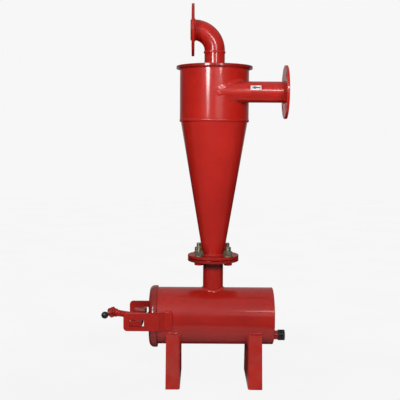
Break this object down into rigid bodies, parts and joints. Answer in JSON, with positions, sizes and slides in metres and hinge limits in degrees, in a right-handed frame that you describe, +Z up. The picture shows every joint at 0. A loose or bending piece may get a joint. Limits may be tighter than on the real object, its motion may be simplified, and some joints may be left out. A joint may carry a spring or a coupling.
{
  "type": "hydrocyclone sand separator on a sediment tank",
  "caption": "Upright cyclone with a tangential side inlet and a bent top outlet, bolted to a horizontal sediment tank with a screw-clamped lid, a capped drain and folded plate supports.",
  "frame": {"origin": "on the floor under the middle of the whole object's box", "axes": "+Z up along the cyclone's axis, +X along the tank from the lid to the drain and inlet side, -Y to the front, where the inlet pipe is"},
  "size_m": [0.5384, 0.2674, 1.1237],
  "materials": {
    "red_paint": "gloss red paint on steel",
    "black_plastic": "moulded black plastic",
    "black_rubber": "black sheet rubber",
    "zinc_hardware": "zinc plated steel",
    "white_label": "plain white sticker"
  },
  "bodies": {
    "root": {"outlet_flange": "red_paint", "outlet_elbow": "red_paint", "outlet_pipe": "red_paint", "top_plate": "red_paint", "cylinder_shell": "red_paint", "inlet_pipe": "red_paint", "inlet_flange": "red_paint", "cone_shell": "red_paint", "cone_flange": "red_paint", "flange_gasket": "black_rubber", "tank_flange": "red_paint", "neck_pipe": "red_paint", "tank_shell": "red_paint", "tank_end_plate": "red_paint", "drain_nipple": "red_paint", "drain_cap": "black_plastic", "lid": "red_paint", "lid_gasket": "black_rubber", "front_clamp_arm": "red_paint", "rear_clamp_arm": "red_paint", "crossbar": "red_paint", "left_support": "red_paint", "right_support": "red_paint"},
    "foot": {"pressure_foot": "red_paint"},
    "clamp_screw": {"clamp_spindle": "red_paint", "spindle_hub": "red_paint", "lever_rod": "red_paint", "lever_ball": "black_plastic"}
  },
  "joints": [
    {"name": "screw_feed", "type": "slide", "parent": "root", "child": "foot", "axis": [-0.989, 0.0052, 0.1477], "range_m": [0, 0.0082]},
    {"name": "screw_turn", "type": "hinge", "parent": "foot", "child": "clamp_screw", "pos_m": [-0.17314, 0.0214, 0.191], "axis": [-0.989, 0.0052, 0.1477], "range_deg": [0, 1170]}
  ],
  "couplings": [
    {"joint": "screw_feed", "follows": "screw_turn", "m_per_rad": 0.00039789}
  ]
}
